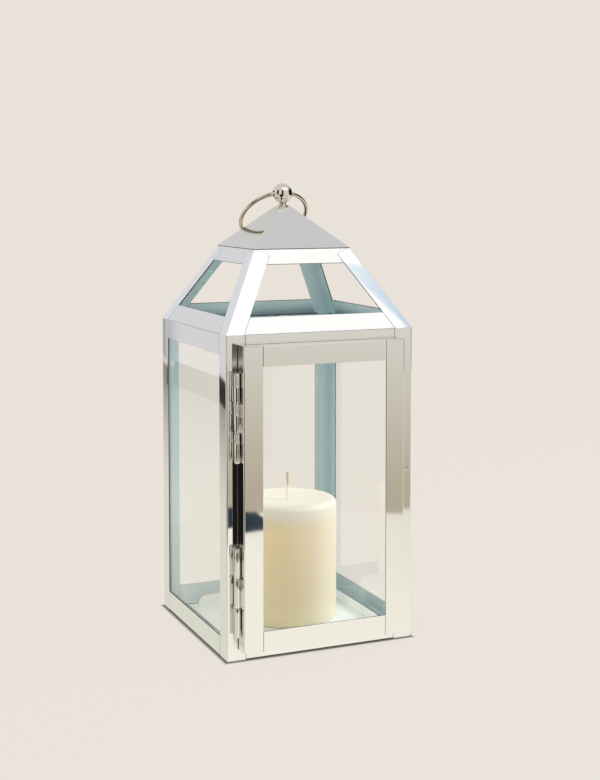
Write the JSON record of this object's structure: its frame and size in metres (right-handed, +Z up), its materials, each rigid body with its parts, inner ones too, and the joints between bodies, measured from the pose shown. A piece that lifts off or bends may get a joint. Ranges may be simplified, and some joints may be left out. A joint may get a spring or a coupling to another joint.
{
  "type": "candle lantern",
  "caption": "Square polished-metal candle lantern with glazed sides, an open-windowed hipped roof, a hinged glass door, a ball finial with a pull ring and a pillar candle inside.",
  "frame": {"origin": "centre of the underside of the base plate, on the surface that the lantern stands on", "axes": "+Z up, the door faces -Y, the door's hinges are on the -X side"},
  "size_m": [0.19, 0.2055, 0.4403],
  "materials": {
    "polished_steel": "mirror polished stainless steel",
    "plain_steel": "dull stainless sheet, inner side",
    "clear_glass": "clear sheet glass, slightly green",
    "magnet": "dark magnet block",
    "wax": "ivory wax, satin",
    "wick_cotton": "waxed cotton"
  },
  "bodies": {
    "frame": {"post_front_left": "polished_steel", "post_front_right": "polished_steel", "post_back_left": "polished_steel", "post_back_right": "polished_steel", "top_rail_front": "polished_steel", "top_rail_back": "polished_steel", "top_rail_left": "polished_steel", "top_rail_right": "polished_steel", "bottom_rail_front": "polished_steel", "bottom_rail_back": "polished_steel", "bottom_rail_left": "polished_steel", "bottom_rail_right": "polished_steel", "roof_band_low_front": "polished_steel", "roof_band_low_back": "polished_steel", "roof_band_low_left": "polished_steel", "roof_band_low_right": "polished_steel", "roof_band_up_front": "polished_steel", "roof_band_up_back": "polished_steel", "roof_band_up_left": "polished_steel", "roof_band_up_right": "polished_steel", "hip_front_left": "polished_steel", "hip_front_right": "polished_steel", "hip_back_left": "polished_steel", "hip_back_right": "polished_steel", "cap": "polished_steel", "finial": "polished_steel", "finial_nut": "plain_steel", "base_plate": "plain_steel", "pane_back": "clear_glass", "pane_left": "clear_glass", "pane_right": "clear_glass", "pane_clips_back": "plain_steel", "pane_clips_left": "plain_steel", "pane_clips_right": "plain_steel", "hinge_up_frame_leaf": "polished_steel", "hinge_up_pin": "polished_steel", "hinge_low_frame_leaf": "polished_steel", "hinge_low_pin": "polished_steel", "catch_bracket": "plain_steel", "catch_magnet": "magnet", "catch_rivet": "polished_steel"},
    "door": {"door_stile_left": "polished_steel", "door_stile_right": "polished_steel", "door_rail_top": "polished_steel", "door_rail_bottom": "polished_steel", "door_glass": "clear_glass", "door_retainer_left": "plain_steel", "door_retainer_right": "plain_steel", "door_strike": "plain_steel", "hinge_up_door_leaf": "polished_steel", "hinge_low_door_leaf": "polished_steel"},
    "ring": {"pull_ring": "polished_steel"},
    "candle": {"candle": "wax", "wick": "wick_cotton"}
  },
  "joints": [
    {"name": "door_hinge", "type": "hinge", "parent": "frame", "child": "door", "pos_m": [-0.0871, -0.1018, 0.15], "axis": [0, 0, -1], "range_deg": [0, 110]},
    {"name": "ring_swing", "type": "hinge", "parent": "frame", "child": "ring", "pos_m": [0, 0, 0.4303], "axis": [1, 0, 0], "range_deg": [0, 268]},
    {"name": "candle_lift", "type": "slide", "parent": "frame", "child": "candle", "axis": [0, 0, 1], "range_m": [0, 0.14]}
  ]
}
